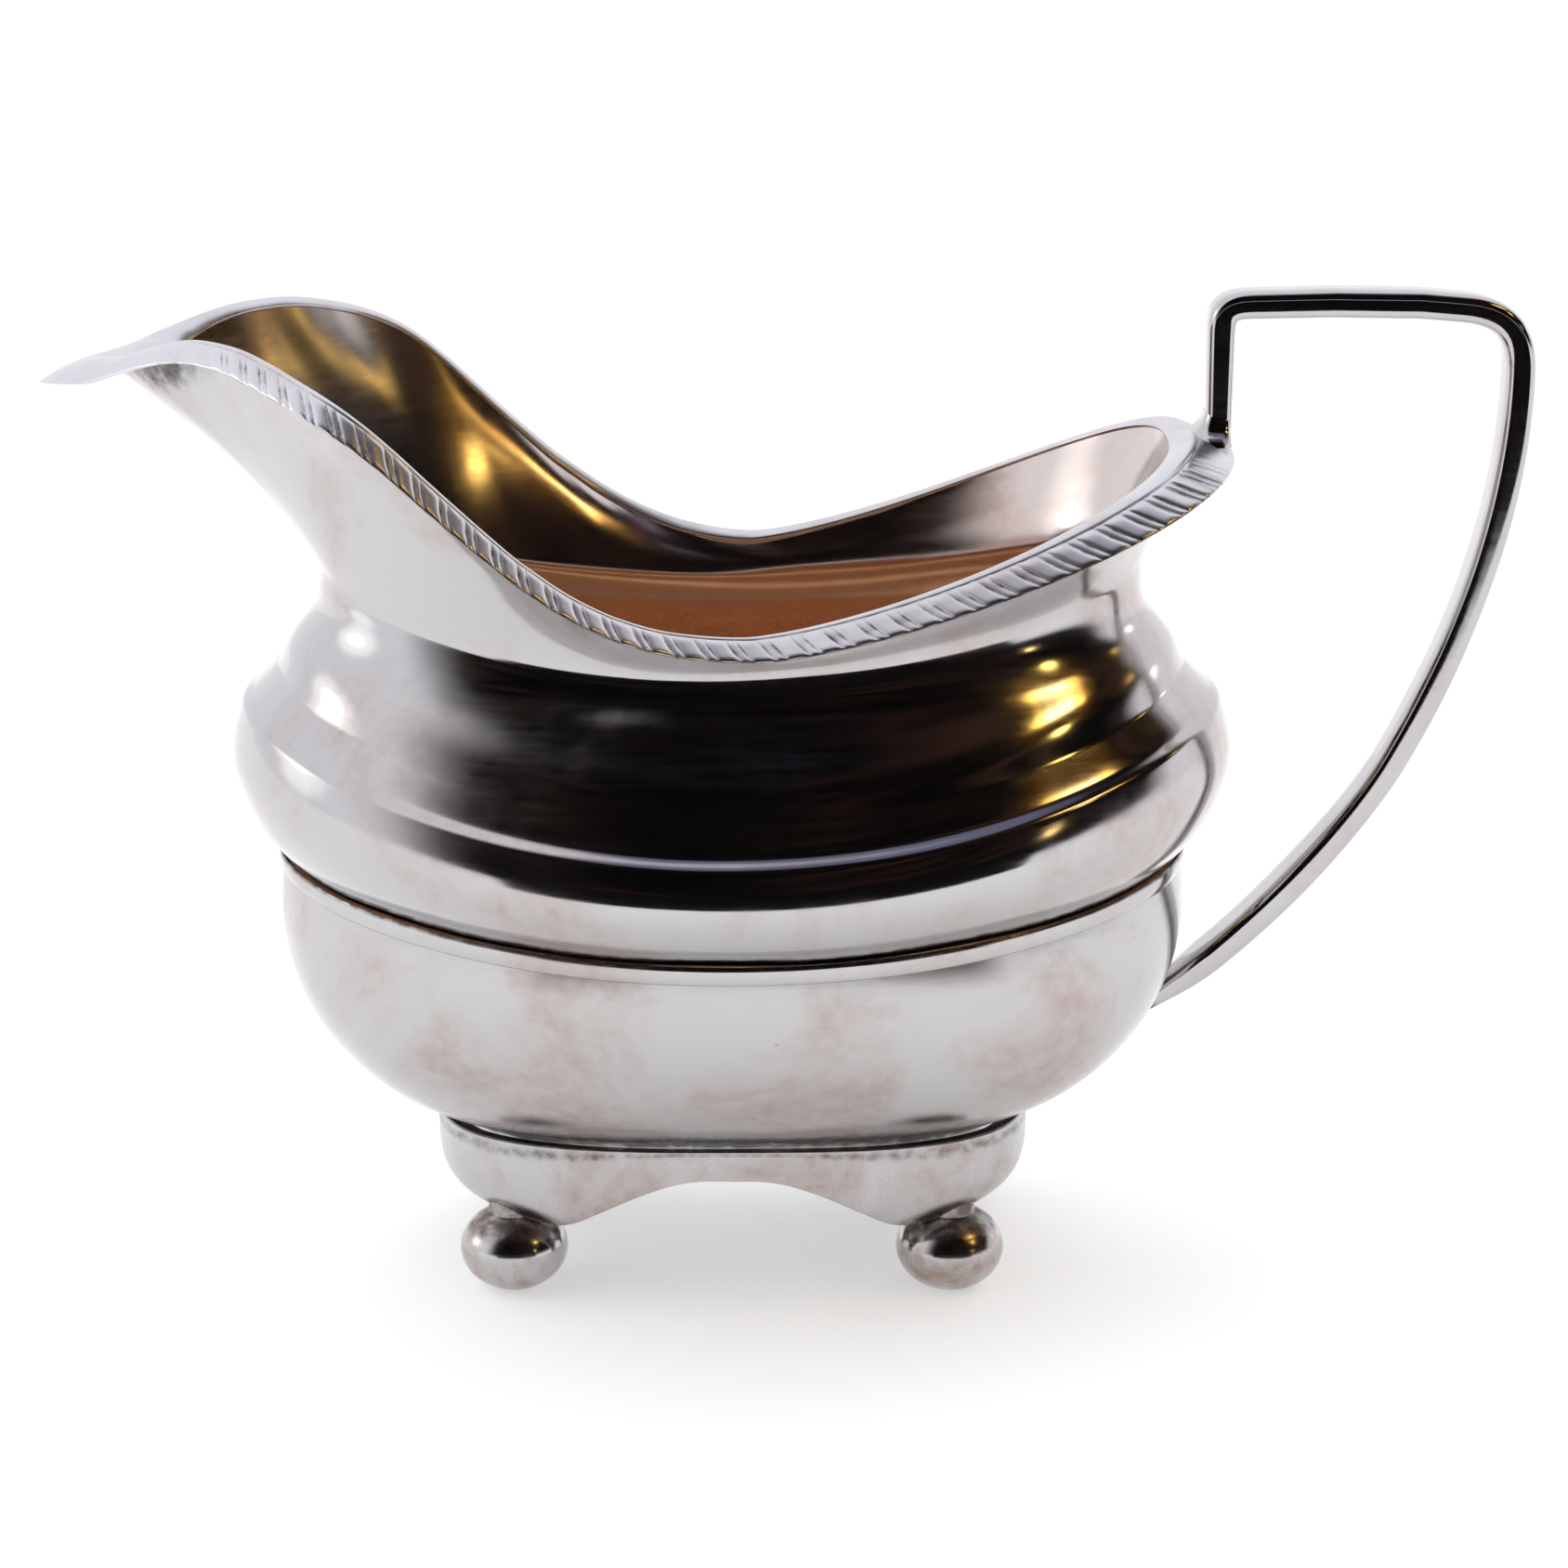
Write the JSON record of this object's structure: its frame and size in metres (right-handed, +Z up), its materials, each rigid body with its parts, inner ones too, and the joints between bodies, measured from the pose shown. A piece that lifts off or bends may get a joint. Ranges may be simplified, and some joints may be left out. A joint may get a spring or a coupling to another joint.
{
  "type": "cream jug",
  "caption": "Rounded-oblong silver cream jug: long pouring lip, gadrooned rim, angular strap handle, arched foot skirt on ball feet.",
  "frame": {"origin": "middle of the overall length and width, on the table plane under the four ball feet", "axes": "+X from the spout towards the handle, +Z up, Y across the jug, which is mirror-symmetric about the XZ plane"},
  "size_m": [0.1397, 0.068, 0.0944],
  "materials": {
    "upper_body": "polished silver, lightly tarnished",
    "lower_bowl": "polished silver with a pinkish tarnish",
    "girdle_moulding": "polished silver wire",
    "rim_border": "bright stamped silver gadroons",
    "foot_skirt": "worn silver, grey tarnish",
    "ball_foot": "polished silver",
    "handle": "polished silver strap",
    "handle_socket": "silver with solder at its edges"
  },
  "bodies": {
    "root": {"upper_body": "upper_body", "lower_bowl": "lower_bowl", "girdle_moulding": "girdle_moulding", "rim_border_near": "rim_border", "rim_border_far": "rim_border", "foot_skirt": "foot_skirt", "ball_foot_spout_near": "ball_foot", "ball_foot_handle_near": "ball_foot", "ball_foot_handle_far": "ball_foot", "ball_foot_spout_far": "ball_foot", "handle": "handle", "handle_socket": "handle_socket"}
  },
  "joints": []
}
